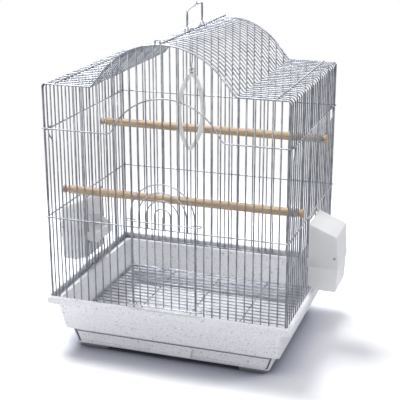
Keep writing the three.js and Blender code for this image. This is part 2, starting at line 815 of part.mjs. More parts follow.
function swingHanger() {
  const hook = wireRadius + 2 * seatGap + swingWireRadius;
  const aside = swingThickness / 2 + seatGap + swingWireRadius;
  const eyeZ = swingHoleZ + swingHoleRadius - seatGap - swingWireRadius;
  const lugTop = swingHoleZ + swingLugRadius;
  return wire([
    [-hook, 0, -hook],
    ...arcPoints([0, 0], hook, 2 * quarter, 0, swingHookSegments, inXZ(0)),
    [hook, 0, -swingHookTail],
    [0, 0, -swingHookTail - hook],
    [0, 0, lugTop + swingEyeLean],
    [0, -aside, lugTop + seatGap],
    [0, -aside, eyeZ],
    [0, aside, eyeZ],
    [0, aside, lugTop],
  ], swingWireRadius);
}

function swingRing() {
  const top = swingTopZ;
  const bottom = top - swingHeight;
  const middle = (top + bottom) / 2;
  const oval = (path, halfX, highZ, lowZ) => {
    const bow = (highZ - lowZ) * swingBowShare;
    const tip = halfX * swingTipShare;
    path.moveTo(0, highZ);
    path.bezierCurveTo(-tip, highZ, -halfX, middle + bow, -halfX, middle);
    path.bezierCurveTo(-halfX, middle - bow, -tip, lowZ, 0, lowZ);
    path.bezierCurveTo(tip, lowZ, halfX, middle - bow, halfX, middle);
    path.bezierCurveTo(halfX, middle + bow, tip, highZ, 0, highZ);
    return path;
  };
  const half = swingWidth / 2;
  const shape = oval(new THREE.Shape(), half, top, bottom);
  shape.holes.push(oval(new THREE.Path(), half - swingBand, top - swingBand, bottom + swingBand));
  const extrusion = { depth: swingThickness, curveSegments: swingSegments, bevelEnabled: false };
  const ring = new THREE.ExtrudeGeometry(shape, extrusion);
  ring.rotateX(quarter).translate(0, swingThickness / 2, 0);
  const lug = new THREE.CylinderGeometry(swingLugRadius, swingLugRadius, swingThickness, pinSides);
  lug.translate(0, 0, swingHoleZ);
  const bore = swingThickness + overrun;
  const hole = new THREE.CylinderGeometry(swingHoleRadius, swingHoleRadius, bore, pinSides);
  hole.translate(0, 0, swingHoleZ);
  return solid(ring).add(solid(lug)).subtract(solid(hole));
}

// Assembly
function named(name, manifold, material) {
  const mesh = new THREE.Mesh(geometryOf(manifold), material);
  mesh.name = name;
  return mesh;
}

function placed(object, x, y, z, turn = 0) {
  object.position.set(x, y, z);
  object.rotation.z = turn;
  return object;
}

const group = new THREE.Group();
group.add(named('base_tub', baseTub(), tubPlastic));
group.add(named('drawer', drawer(), drawerPlastic));
group.add(named('floor_grate', floorGrate(), wireFinish));

const cage = new THREE.Group();
cage.add(placed(named('front_panel', endPanel({ hasDoor: true }), wireFinish), 0, -halfDepth, 0));
cage.add(placed(named('back_panel', endPanel({ hasDoor: false }), wireFinish), 0, halfDepth, 0, 2 * quarter));
cage.add(placed(named('right_panel', sidePanel(1), wireFinish), halfWidth, 0, 0, quarter));
cage.add(placed(named('left_panel', sidePanel(-1), wireFinish), -halfWidth, 0, 0, -quarter));
cage.add(named('roof', roof(), wireFinish));
cage.add(named('lift_door', liftDoor(), wireFinish));
cage.add(placed(named('carry_handle', carryHandle(), handleFinish), 0, handleY, ridgeWireZ));

const perches = [
  ['upper_perch', upperPerchSpaces, upperPerchAboveRim],
  ['lower_perch', lowerPerchSpaces, lowerPerchAboveRim],
];
for (const [name, column, aboveRim] of perches) {
  const y = (sidePlace(column) + sidePlace(column + 1)) / 2;
  cage.add(placed(named(name, perch(), birch), 0, y, rimTop + aboveRim));
}

const swing = placed(new THREE.Group(), 0, swingY, ridgeWireZ);
swing.add(named('swing_hanger', swingHanger(), wireFinish));
swing.add(named('swing_ring', swingRing(), ringPlastic));
cage.add(swing);

for (const [name, side] of [['left', -1], ['right', 1]]) {
  const turn = side > 0 ? 0 : 2 * quarter;
  const feeder = placed(new THREE.Group(), side * halfWidth, feederY, rimTop, turn);
  feeder.add(named(`${name}_feeder_cup`, feederCup(), feederPlastic));
  feeder.add(named(`${name}_feeder_hood`, feederHood(), feederPlastic));
  feeder.add(named(`${name}_hood_pin_front`, hoodPin(-side), feederPlastic));
  feeder.add(named(`${name}_hood_pin_back`, hoodPin(side), feederPlastic));
  cage.add(feeder);
}
group.add(cage);

export default group;
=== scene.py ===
"""Arch top bird cage: round wires, moulded base and feeders, birch perches, in a studio."""
import bpy
import bmesh
import math
import random
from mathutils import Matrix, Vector


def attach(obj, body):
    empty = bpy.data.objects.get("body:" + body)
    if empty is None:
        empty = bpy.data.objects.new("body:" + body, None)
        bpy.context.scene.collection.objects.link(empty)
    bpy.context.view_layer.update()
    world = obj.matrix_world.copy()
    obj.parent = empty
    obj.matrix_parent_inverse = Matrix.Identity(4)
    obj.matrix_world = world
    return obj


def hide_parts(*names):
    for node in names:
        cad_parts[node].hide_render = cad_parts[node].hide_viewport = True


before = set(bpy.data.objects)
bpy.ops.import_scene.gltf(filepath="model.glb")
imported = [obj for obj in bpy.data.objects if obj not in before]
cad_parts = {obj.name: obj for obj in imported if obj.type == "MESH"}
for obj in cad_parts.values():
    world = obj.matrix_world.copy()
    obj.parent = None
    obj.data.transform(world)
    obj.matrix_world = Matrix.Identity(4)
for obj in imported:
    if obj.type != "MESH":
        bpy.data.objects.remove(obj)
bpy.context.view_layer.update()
scene = bpy.context.scene
MM = 0.001
QUARTER = math.pi / 2
TURN = 2 * math.pi

# The cage in millimetres, as the solids have it
PITCH = 12.0
FRONT_SPACES = 30
SIDE_SPACES = 24
HALF_W = PITCH * FRONT_SPACES / 2
HALF_D = PITCH * SIDE_SPACES / 2
WIRE_R = 1.05
WELD = 1.75                     # between the middles of two welded wires
CLEARANCE = 0.3                 # between two pieces that don't touch
HANG_GAP = 0.6                  # between a wire and a loop that hangs on it
RIM_TOP = 92.0
LEDGE_Z = RIM_TOP - 9.5
TUB_FLOOR_Z = 34
TUB_FLOOR = 2.5
SHOULDER_Z = RIM_TOP + 322
RIDGE_Z = SHOULDER_Z + 64
RIDGE_WIRE_Z = RIDGE_Z + WELD
SHOULDER_WIRE_X = HALF_W - 19
ARCH_CHORD = 105.0
ARCH_R = 111.5
PANEL_BEND = 4.0
ROOF_BEND = 7.0
UPPER_BAR_Z = RIM_TOP + 254
LOWER_BAR_Z = RIM_TOP + 124
WIRE_FOOT_Z = LEDGE_Z + CLEARANCE
BOTTOM_BAR_Z = WIRE_FOOT_Z + WIRE_R
SIDE_END = HALF_D - 2.4
DOOR_SPACES = 8
DOOR_HALF = DOOR_SPACES * PITCH / 2
DOOR_R = 0.95
DOOR_Y = -148.1
DOOR_CROSS_Y = DOOR_Y - 2 * DOOR_R + 0.35
DOOR_FOOT_Z = RIM_TOP + 3
DOOR_MID_Z = LOWER_BAR_Z + 10
DOOR_PULL_Z = DOOR_FOOT_Z + 65
FEEDER_Y = 18.0
HOOD_TOP = 110.4

# The inner arch bar, which stands a little higher, narrower and to the right here
INNER_CHORD = 81.5
INNER_RISE = 55.3
INNER_CENTRE = 5.0
INNER_LEVEL = UPPER_BAR_Z + 3.6
INNER_BEND = 7.5


# Material helpers
def material(name, base, rough, metallic=0.0):
    mat = bpy.data.materials.new(name)
    mat.use_nodes = True
    tree = mat.node_tree
    bsdf = tree.nodes["Principled BSDF"]
    bsdf.inputs["Base Color"].default_value = (*base, 1)
    bsdf.inputs["Roughness"].default_value = rough
    bsdf.inputs["Metallic"].default_value = metallic
    return mat, tree, bsdf


def fill(tree, socket, value):
    """Links a socket to another node's output, or sets it to a number or colour."""
    if isinstance(value, bpy.types.NodeSocket):
        tree.links.new(value, socket)
    elif isinstance(value, tuple) and len(socket.default_value) == 4:
        socket.default_value = (*value, 1)
    else:
        socket.default_value = value


def coords(tree, scale=(1, 1, 1)):
    place = tree.nodes.new("ShaderNodeTexCoord")
    mapping = tree.nodes.new("ShaderNodeMapping")
    mapping.inputs["Scale"].default_value = scale
    tree.links.new(place.outputs["Object"], mapping.inputs["Vector"])
    return mapping.outputs["Vector"]


def noise(tree, vector, scale, detail=3.0, rough=0.5):
    node = tree.nodes.new("ShaderNodeTexNoise")
    node.inputs["Scale"].default_value = scale
    node.inputs["Detail"].default_value = detail
    node.inputs["Roughness"].default_value = rough
    tree.links.new(vector, node.inputs["Vector"])
    return node.outputs["Fac"]


def ramp(tree, value, stops):
    node = tree.nodes.new("ShaderNodeValToRGB")
    elements = node.color_ramp.elements
    while len(elements) < len(stops):
        elements.new(0.5)
    for element, (place, colour) in zip(elements, stops):
        element.position = place
        element.color = (*colour, 1)
    tree.links.new(value, node.inputs["Fac"])
    return node.outputs["Color"]


def grey(v):
    return (v, v, v)


def spread(tree, value, low, high, start=0.0, end=1.0, kind="LINEAR"):
    """Maps a value from start..end to low..high, and clamps it there."""
    node = tree.nodes.new("ShaderNodeMapRange")
    node.interpolation_type = kind
    node.inputs["From Min"].default_value = start
    node.inputs["From Max"].default_value = end
    node.inputs["To Min"].default_value = low
    node.inputs["To Max"].default_value = high
    tree.links.new(value, node.inputs["Value"])
    return node.outputs["Result"]


def axis_value(tree, vector, axis):
    node = tree.nodes.new("ShaderNodeSeparateXYZ")
    tree.links.new(vector, node.inputs["Vector"])
    return node.outputs[axis]


def maths(tree, operation, *values):
    node = tree.nodes.new("ShaderNodeMath")
    node.operation = operation
    for socket, value in zip(node.inputs, values):
        tree.links.new(value, socket)
    return node.outputs[0]


def mixed(tree, factor, first, second, blend="MIX"):
    node = tree.nodes.new("ShaderNodeMix")
    node.data_type = "RGBA"
    node.blend_type = blend
    for socket, value in ((node.inputs[0], factor), (node.inputs[6], first), (node.inputs[7], second)):
        fill(tree, socket, value)
    return node.outputs[2]


def mixed_shaders(tree, factor, first, second):
    node = tree.nodes.new("ShaderNodeMixShader")
    for socket, value in zip(node.inputs, (factor, first, second)):
        fill(tree, socket, value)
    return node.outputs[0]


def shut_in(tree, reach):
    """Ambient occlusion: 0 where the surface is shut in within the reach, 1 in the open."""
    node = tree.nodes.new("ShaderNodeAmbientOcclusion")
    node.samples = 8
    node.inputs["Distance"].default_value = reach
    return node.outputs["AO"]


def bump(tree, bsdf, height, strength, distance):
    node = tree.nodes.new("ShaderNodeBump")
    node.inputs["Strength"].default_value = strength
    node.inputs["Distance"].default_value = distance
    tree.links.new(height, node.inputs["Height"])
    tree.links.new(node.outputs["Normal"], bsdf.inputs["Normal"])


# Materials
def wire_material(name, light, dark, rough):
    """Bright zinc with faint darker clouds."""
    mat, tree, bsdf = material(name, light, rough, 0.85)
    vector = coords(tree)
    cloud = noise(tree, vector, 60, 4)
    fine = noise(tree, vector, 900, 2)
    tree.links.new(ramp(tree, cloud, [(0.35, dark), (0.65, light)]), bsdf.inputs["Base Color"])
    tree.links.new(spread(tree, fine, rough - 0.08, rough + 0.12), bsdf.inputs["Roughness"])
    bump(tree, bsdf, fine, 0.25, 0.0001)
    return mat


SPECK_COLOUR = (0.42, 0.42, 0.47)
# Cells to the metre, the share of them that hold a speck, and how dark it is
SPECK_SIZES = ((430, 0.6, 0.34), (280, 0.34, 0.42), (210, 0.11, 0.66), (150, 0.022, 0.72))
# Painted shade: the plastic is darkened where it is shut in, in creases, gaps and under the rim
CREASE_SHADE = [(0.25, (0.34, 0.34, 0.43)), (0.50, (0.80, 0.80, 0.84)), (0.80, grey(1))]
CREASE_SHADE_REACH = 0.011
# Painted shade on the feet: below the upper height the plastic darkens, down to the factor below at the
# lower height
FOOT_SHADE_HEIGHTS = (0.005, 0.0105)
FOOT_SHADE = 0.36


def speckled(tree, vector, colour):
    """Mottled plastic with specks of several sizes, painted shade in its creases and painted shade on its
    feet.
    """
    mottle = ramp(tree, noise(tree, vector, 420, 2), [(0.36, (0.90, 0.90, 0.92)), (0.60, grey(1))])
    colour = mixed(tree, 1.0, colour, mottle, "MULTIPLY")
    # Painted shade: darker towards the bottom of the feet
    feet_shading = spread(tree, axis_value(tree, vector, "Z"), FOOT_SHADE, 1.0, *FOOT_SHADE_HEIGHTS)
    colour = mixed(tree, 1.0, colour, feet_shading, "MULTIPLY")
    for scale, share, strength in SPECK_SIZES:
        cells = tree.nodes.new("ShaderNodeTexVoronoi")
        cells.inputs["Scale"].default_value = scale
        tree.links.new(vector, cells.inputs["Vector"])
        size = ramp(tree, cells.outputs["Distance"], [(0.18, grey(1)), (0.42, grey(0))])
        pick = tree.nodes.new("ShaderNodeSeparateColor")
        tree.links.new(cells.outputs["Color"], pick.inputs["Color"])
        chosen = ramp(tree, pick.outputs[0], [(share, grey(strength)), (share + 0.02, grey(0))])
        mask = mixed(tree, 1.0, size, chosen, "MULTIPLY")
        colour = mixed(tree, mask, colour, SPECK_COLOUR)
    # Painted shade in creases and gaps, from ambient occlusion
    return mixed(tree, 1.0, colour, ramp(tree, shut_in(tree, CREASE_SHADE_REACH), CREASE_SHADE), "MULTIPLY")


def plastic_material(name, base, rough, specks=False, glow=0.0):
    """Moulded plastic. The glow is the share of light that comes through a thin wall."""
    mat, tree, bsdf = material(name, base, rough)
    vector = coords(tree)
    cloud = noise(tree, vector, 9, 3)
    grain = noise(tree, vector, 1300, 2)
    low = tuple(c * 0.965 for c in base)
    colour = ramp(tree, cloud, [(0.3, low), (0.7, base)])
    if specks:
        colour = speckled(tree, vector, colour)
    tree.links.new(colour, bsdf.inputs["Base Color"])
    tree.links.new(spread(tree, grain, rough - 0.06, rough + 0.10), bsdf.inputs["Roughness"])
    bump(tree, bsdf, grain, 0.18, 0.0001)
    if glow:
        through = tree.nodes.new("ShaderNodeBsdfTranslucent")
        through.inputs["Color"].default_value = (*base, 1)
        blend = mixed_shaders(tree, glow, bsdf.outputs[0], through.outputs[0])
        tree.links.new(blend, tree.nodes["Material Output"].inputs["Surface"])
    return mat


BIRCH_STREAKS = [(0.28, (0.30, 0.20, 0.108)), (0.5, (0.475, 0.36, 0.235)), (0.72, (0.63, 0.515, 0.375))]
BIRCH_PORE = (0.42, 0.29, 0.16)
BIRCH_END = (0.36, 0.23, 0.12)
DOWEL_END = (0.1848, 0.1860)


def birch_material():
    """Turned birch: streaks along X, fine pores, and darker end grain."""
    mat, tree, bsdf = material("birch_dowel", (0.80, 0.63, 0.40), 0.62)
    streak = noise(tree, coords(tree, (3, 60, 60)), 9, 5, 0.6)
    pores = noise(tree, coords(tree, (30, 420, 420)), 9, 2)
    band = noise(tree, coords(tree, (14, 14, 14)), 4, 2)
    shade = ramp(tree, band, [(0.35, grey(0.90)), (0.7, grey(1.0))])
    colour = mixed(tree, 1.0, ramp(tree, streak, BIRCH_STREAKS), shade, "MULTIPLY")
    fleck = ramp(tree, pores, [(0.30, grey(1)), (0.40, grey(0))])
    colour = mixed(tree, fleck, colour, BIRCH_PORE)
    from_middle = maths(tree, "ABSOLUTE", axis_value(tree, coords(tree), "X"))
    cut = spread(tree, from_middle, 0.0, 1.0, *DOWEL_END)
    colour = mixed(tree, cut, colour, mixed(tree, 0.85, colour, BIRCH_END))
    tree.links.new(colour, bsdf.inputs["Base Color"])
    tree.links.new(spread(tree, streak, 0.52, 0.75), bsdf.inputs["Roughness"])
    bump(tree, bsdf, pores, 0.3, 0.0002)
    return mat


WIRE = wire_material("cage_wire", (0.44, 0.45, 0.48), (0.21, 0.225, 0.26), 0.29)
DOOR_WIRE = wire_material("door_wire", (0.46, 0.47, 0.51), (0.30, 0.31, 0.35), 0.26)
HANDLE_WIRE = wire_material("handle_wire", (0.58, 0.59, 0.63), (0.42, 0.43, 0.47), 0.24)
TUB = plastic_material("tub_plastic", (0.81, 0.815, 0.835), 0.42, specks=True)
DRAWER = plastic_material("drawer_plastic", (0.79, 0.785, 0.82), 0.44, specks=True)
FEEDER = plastic_material("feeder_plastic", (0.92, 0.92, 0.925), 0.34, glow=0.45)
PIN_GREY = plastic_material("pin_plastic", (0.46, 0.46, 0.48), 0.38)
RING = plastic_material("ring_plastic", (0.84, 0.83, 0.81), 0.40)
BIRCH = birch_material()


# Mesh helpers
def finish_piece(obj, node, body):
    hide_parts(node)
    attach(obj, body)


def piece(name, bm, mat, node, body):
    """Makes an object from a mesh made in millimetres, scaled to metres, in place of its part."""
    mesh = bpy.data.meshes.new(name)
    bmesh.ops.recalc_face_normals(bm, faces=bm.faces)
    bm.to_mesh(mesh)
    bm.free()
    for vertex in mesh.vertices:
        vertex.co *= MM
    obj = bpy.data.objects.new(name, mesh)
    scene.collection.objects.link(obj)
    mesh.materials.append(mat)
    for polygon in mesh.polygons:
        polygon.use_smooth = True
    finish_piece(obj, node, body)
    return obj


def circle_points(steps):
    return [(math.cos(TURN * k / steps), math.sin(TURN * k / steps)) for k in range(steps)]


END_DOME = 0.6


def tube(bm, points, radius=WIRE_R, sides=10):
    """A round wire along the points, mitred at each, with domed ends."""
    path = [Vector(p) for p in points]
    runs = [(b - a).normalized() for a, b in zip(path, path[1:])]
    helper = Vector((1, 0, 0)) if abs(runs[0].y) > 0.9 else Vector((0, 1, 0))
    u = helper.cross(runs[0]).normalized()
    v = runs[0].cross(u)
    circle = circle_points(sides)
    dome = radius * END_DOME
    rings = []
    for angle in (0.35, 0.85):
        size = radius * math.sin(angle)
        back = radius * (1 - math.cos(angle)) * END_DOME
        rings.append([path[0] + runs[0] * back + u * (size * a) + v * (size * b) for a, b in circle])
    start = path[0] + runs[0] * dome
    ring = [start + u * (radius * a) + v * (radius * b) for a, b in circle]
    rings.append(ring)
    for i in range(1, len(path)):
        along = runs[i - 1]
        last = i == len(path) - 1
        plane = along if last else (along + runs[i]).normalized()
        centre = path[i] - along * dome if last else path[i]
        ring = [p + along * ((centre - p).dot(plane) / along.dot(plane)) for p in ring]
        rings.append(ring)
    base = path[-1] - runs[-1] * dome
    for angle in (0.85, 0.35):
        back = radius * (1 - math.cos(angle)) * END_DOME
        rings.append([path[-1] - runs[-1] * back + (p - base) * math.sin(angle) for p in ring])
    loft(bm, rings)


def loft(bm, rings, closed=False):
    """Joins rings of points into a skin, capped at both ends or closed into a loop."""
    made = [[bm.verts.new(p) for p in ring] for ring in rings]
    count = len(made[0])
    pairs = list(zip(made, made[1:]))
    if closed:
        pairs.append((made[-1], made[0]))
    for low, high in pairs:
        for k in range(count):
            n = (k + 1) % count
            bm.faces.new((low[k], low[n], high[n], high[k]))
    if not closed:
        bm.faces.new(list(reversed(made[0])))
        bm.faces.new(made[-1])


def arc(cx, cz, radius, start, end, steps):
    return [(cx + radius * math.cos(start + (end - start) * i / steps),
             cz + radius * math.sin(start + (end - start) * i / steps)) for i in range(steps + 1)]


def weld(bm, x, y, z, size=0.75):
    """A small flattened bead where two wires are welded."""
    start = len(bm.verts)
    bmesh.ops.create_icosphere(bm, subdivisions=1, radius=size)
    bm.verts.ensure_lookup_table()
    for vertex in bm.verts[start:]:
        vertex.co = Vector((x + vertex.co.x * 1.25, y + vertex.co.y * 1.1, z + vertex.co.z * 1.1))


# Cage wires
ARCH_CENTRE = RIDGE_Z - ARCH_R
CHORD_RISE = SHOULDER_Z - ARCH_CENTRE
FLANK_ANGLE = math.atan2(CHORD_RISE, ARCH_CHORD) + math.acos(ARCH_R / math.hypot(ARCH_CHORD, CHORD_RISE))
FLANK_X = math.cos(FLANK_ANGLE) * ARCH_R
FLANK_Z = ARCH_CENTRE + math.sin(FLANK_ANGLE) * ARCH_R
CORNER_RUN = 1.6
CORNER_CUT = 0.3
SIDE_HOOK_PLACES = (2, SIDE_SPACES - 2)
SIDE_OPENING_HALF = 30
SILL_Z = RIM_TOP + 36
HEAD_Z = RIM_TOP + HOOD_TOP + 3


def roof_profile(foot, bend, steps):
    """Up the wall, round the shoulder, up a straight flank, over the arch and down."""
    bend_x = HALF_W - bend
    bend_z = SHOULDER_Z - bend
    share = CORNER_RUN / math.hypot(ARCH_CHORD - FLANK_X, FLANK_Z - SHOULDER_Z)
    corner = [(ARCH_CHORD + CORNER_RUN, SHOULDER_Z), (ARCH_CHORD + CORNER_CUT, SHOULDER_Z + CORNER_CUT),
              (ARCH_CHORD - (ARCH_CHORD - FLANK_X) * share, SHOULDER_Z + (FLANK_Z - SHOULDER_Z) * share)]
    line = [(-HALF_W, foot)]
    line += arc(-bend_x, bend_z, bend, math.pi, QUARTER, 6)
    line += [(-x, z) for x, z in corner]
    line += arc(0, ARCH_CENTRE, ARCH_R, math.pi - FLANK_ANGLE, FLANK_ANGLE, steps)
    line += list(reversed(corner))
    line += arc(bend_x, bend_z, bend, QUARTER, 0, 6)
    line.append((HALF_W, foot))
    return line


def roof_height(x):
    size = abs(x)
    if size >= ARCH_CHORD:
        return SHOULDER_Z
    if size <= FLANK_X:
        return ARCH_CENTRE + math.sqrt(ARCH_R ** 2 - x * x)
    return SHOULDER_Z + (FLANK_Z - SHOULDER_Z) * (ARCH_CHORD - size) / (ARCH_CHORD - FLANK_X)


def rounded_bend(start, corner, end, steps=6):
    """A curve from start to end that would meet in the corner."""
    points = []
    for k in range(steps + 1):
        t = k / steps
        points.append(tuple(a * (1 - t) ** 2 + b * 2 * t * (1 - t) + c * t ** 2
                            for a, b, c in zip(start, corner, end)))
    return points


def inner_arch():
    """The bar that follows the arch of the front, with rounded bends where it rises from the level."""
    left, right = INNER_CENTRE - INNER_CHORD, INNER_CENTRE + INNER_CHORD
    radius = (INNER_CHORD ** 2 + INNER_RISE ** 2) / (2 * INNER_RISE)
    half = math.asin(INNER_CHORD / radius)
    centre = INNER_LEVEL + INNER_RISE - radius
    rising = arc(INNER_CENTRE, centre, radius, QUARTER + half, QUARTER - half, 60)
    kept = [point for point in rising
            if math.dist(point, rising[0]) > INNER_BEND and math.dist(point, rising[-1]) > INNER_BEND]
    line = [(-HALF_W, INNER_LEVEL)]
    line += rounded_bend((left - INNER_BEND, INNER_LEVEL), (left, INNER_LEVEL), kept[0])
    line += kept[1:-1:2]
    line += rounded_bend(kept[-1], (right, INNER_LEVEL), (right + INNER_BEND, INNER_LEVEL))
    line.append((HALF_W, INNER_LEVEL))
    return line


def hooked(bm, line, y, out):
    """A bar on the outer face of an end panel, its ends turned back round the corners."""
    turn = HALF_W + WELD
    tip = y - out * (WELD - WIRE_R + 1.6)
    bend = 1.2
    cut = bend * 0.3
    first, last = line[0][1], line[-1][1]
    points = [(-turn, tip, first), (-turn, y - out * bend, first), (-turn + cut, y - out * cut, first),
              (-turn + bend, y, first)]
    points += [(x, y, z) for x, z in line]
    points += [(turn - bend, y, last), (turn - cut, y - out * cut, last), (turn, y - out * bend, last),
               (turn, tip, last)]
    tube(bm, points)


def staple(bm, y):
    """The small staple on top of the front's arch."""
    left, right, foot, top = -8.6, -1.4, RIDGE_Z - WIRE_R, RIDGE_Z + 6
    bend, cut = 1, 0.3
    line = [(left, foot), (left, top - bend), (left + cut, top - cut), (left + bend, top),
            (right - bend, top), (right - cut, top - cut), (right, top - bend), (right, foot)]
    tube(bm, [(x, y, z) for x, z in line])


def end_panel(y, out, has_door):
    """out is -1 for the front and 1 for the back."""
    bm = bmesh.new()
    tube(bm, [(x, y, z) for x, z in roof_profile(WIRE_FOOT_Z, PANEL_BEND, 36)], sides=12)
    bar_y = y + out * WELD
    door_first = (FRONT_SPACES - DOOR_SPACES) // 2
    for i in range(1, FRONT_SPACES):
        x = -HALF_W + i * PITCH
        in_door = has_door and door_first < i < door_first + DOOR_SPACES
        foot = LOWER_BAR_Z - WIRE_R if in_door else WIRE_FOOT_Z
        tube(bm, [(x, y, foot), (x, y, roof_height(x))])
        weld(bm, x, y + out * WELD / 2, LOWER_BAR_Z)
        if not in_door:
            weld(bm, x, y + out * 0.3, BOTTOM_BAR_Z)
        weld(bm, x, y, roof_height(x) - 0.5, 0.95)
    tube(bm, [(-HALF_W, y, BOTTOM_BAR_Z), (HALF_W, y, BOTTOM_BAR_Z)])
    hooked(bm, [(-HALF_W, LOWER_BAR_Z), (HALF_W, LOWER_BAR_Z)], bar_y, out)
    if has_door:
        hooked(bm, inner_arch(), bar_y, out)
        staple(bm, y)
    else:
        hooked(bm, [(-HALF_W, UPPER_BAR_Z), (HALF_W, UPPER_BAR_Z)], bar_y, out)
    name = "front_panel" if has_door else "back_panel"
    piece(name + "_wires", bm, WIRE, name, "cage")


def side_place(j):
    if j == 0:
        return -SIDE_END
    if j == SIDE_SPACES:
        return SIDE_END
    return -HALF_D + j * PITCH


def side_panel(side):
    bm = bmesh.new()
    x = side * HALF_W
    top = UPPER_BAR_Z - WIRE_R - CLEARANCE
    for j in range(SIDE_SPACES + 1):
        y = side_place(j)
        if j in SIDE_HOOK_PLACES:
            hook_wire(bm, side, x, y, top)
        elif abs(y - FEEDER_Y) < SIDE_OPENING_HALF:
            tube(bm, [(x, y, WIRE_FOOT_Z), (x, y, SILL_Z)])
            tube(bm, [(x, y, HEAD_Z), (x, y, top)])
        else:
            tube(bm, [(x, y, WIRE_FOOT_Z), (x, y, top)])
        weld(bm, x + side * WELD / 2, y, LOWER_BAR_Z)
        weld(bm, x + side * 0.3, y, BOTTOM_BAR_Z)
    for z in (SILL_Z, HEAD_Z):
        tube(bm, [(x, FEEDER_Y - SIDE_OPENING_HALF, z), (x, FEEDER_Y + SIDE_OPENING_HALF, z)])
    tube(bm, [(x, -SIDE_END, BOTTOM_BAR_Z), (x, SIDE_END, BOTTOM_BAR_Z)])
    end = SIDE_END + WIRE_R
    tube(bm, [(x + side * WELD, -end, LOWER_BAR_Z), (x + side * WELD, end, LOWER_BAR_Z)])
    name = "right_panel" if side > 0 else "left_panel"
    piece(name + "_wires", bm, WIRE, name, "cage")


def hook_wire(bm, side, x, y, top):
    """A side wire that steps out and aside near its top and hooks over the roof's bottom bar."""
    aside = y + math.copysign(PITCH / 2, y)
    reach = 2 * WIRE_R + HANG_GAP
    step_foot, step_height, hook_end = top - 20, 13, 4
    out = x + side * reach
    points = [(x, y, WIRE_FOOT_Z), (x, y, step_foot)]
    for t in (0.12, 0.35, 0.65, 0.88):
        ease = t * t * (3 - 2 * t)
        points.append((x + (out - x) * ease, y + (aside - y) * ease, step_foot + step_height * t))
    points += [(out, aside, step_foot + step_height), (out, aside, UPPER_BAR_Z)]
    for px, pz in arc(x, UPPER_BAR_Z, reach, 0, math.pi, 10)[1:]:
        points.append((px if side > 0 else 2 * x - px, aside, pz))
    points.append((x - side * reach, aside, UPPER_BAR_Z - hook_end))
    tube(bm, points)


def roof():
    bm = bmesh.new()
    for j in range(SIDE_SPACES + 1):
        y = side_place(j)
        tube(bm, [(x, y, z) for x, z in roof_profile(UPPER_BAR_Z, ROOF_BEND, 26)])
        weld(bm, 0, y, RIDGE_Z + WELD / 2)
        for side in (-1, 1):
            weld(bm, side * SHOULDER_WIRE_X, y, SHOULDER_Z + WELD / 2)
    end = SIDE_END + WIRE_R
    runs = [(0, RIDGE_WIRE_Z)]
    for side in (-1, 1):
        runs += [(side * SHOULDER_WIRE_X, SHOULDER_Z + WELD), (side * HALF_W, UPPER_BAR_Z)]
    for x, z in runs:
        tube(bm, [(x, -end, z), (x, end, z)])
    piece("roof_wires", bm, WIRE, "roof", "cage")


# Lift door
LOOP_R = 4.8
LOOP_MIDDLE = DOOR_HALF + 2.6
LOOP_REACH = 6.2
PULL_DIP = 4.6


def guide_loop(side, z):
    """The end of a door wire, bent back round the guide wire beside the door."""
    centre = DOOR_CROSS_Y + LOOP_R
    outer = LOOP_MIDDLE + LOOP_REACH - LOOP_R
    inner = LOOP_MIDDLE - LOOP_REACH + LOOP_R - WIRE_R
    loop = arc(outer, centre, LOOP_R, -QUARTER, QUARTER, 12)
    loop += arc(inner, centre, LOOP_R, QUARTER, math.pi, 6)
    return [(side * x, y, z) for x, y in loop]


def lift_door():
    """Nested arches on a centre wire, two cross wires that end in loops, and a pull wire with a dip."""
    bm = bmesh.new()
    spring = DOOR_MID_Z + 10
    arches = DOOR_SPACES // 2
    for n in range(1, arches + 1):
        r = n * PITCH
        arch = [(-r, DOOR_FOOT_Z)] + arc(0, spring, r, math.pi, 0, 28) + [(r, DOOR_FOOT_Z)]
        tube(bm, [(x, DOOR_Y, z) for x, z in arch], DOOR_R)
    tube(bm, [(0, DOOR_Y, DOOR_FOOT_Z), (0, DOOR_Y, spring)], DOOR_R)
    foot_wire_z = DOOR_FOOT_Z + 2 * WIRE_R
    for z in (DOOR_MID_Z, foot_wire_z):
        tube(bm, list(reversed(guide_loop(-1, z))) + guide_loop(1, z), DOOR_R)
    dip = [(DOOR_HALF + WIRE_R, 0), (10.6, 0), (9, 0.3), (1, PULL_DIP - 0.3), (0, PULL_DIP)]
    dip = [(-x, drop) for x, drop in dip] + list(reversed(dip[:-1]))
    tube(bm, [(x, DOOR_CROSS_Y, DOOR_PULL_Z - drop) for x, drop in dip], DOOR_R)
    for n in range(-arches, arches + 1):
        for z in (DOOR_MID_Z, foot_wire_z, DOOR_PULL_Z):
            drop = PULL_DIP if z == DOOR_PULL_Z and n == 0 else 0
            weld(bm, n * PITCH, (DOOR_Y + DOOR_CROSS_Y) / 2, z - drop, 0.65)
    piece("lift_door_wires", bm, DOOR_WIRE, "lift_door", "door")


# Floor grate and carrying handle
GRATE_WIRES = 22
GRATE_PITCH = 11.7
BEARER_X = 81.7
HANDLE_R = 1.5
HANDLE_BOW = [(-22, -1.6), (-10, -0.1), (-4, 0.7), (-1.5, 1.5), (-0.4, 2.5), (0.6, 3.4), (1.6, 2.6),
              (2.6, 1.0), (4.2, 0.5), (10, 0.6), (16, 0.3)]


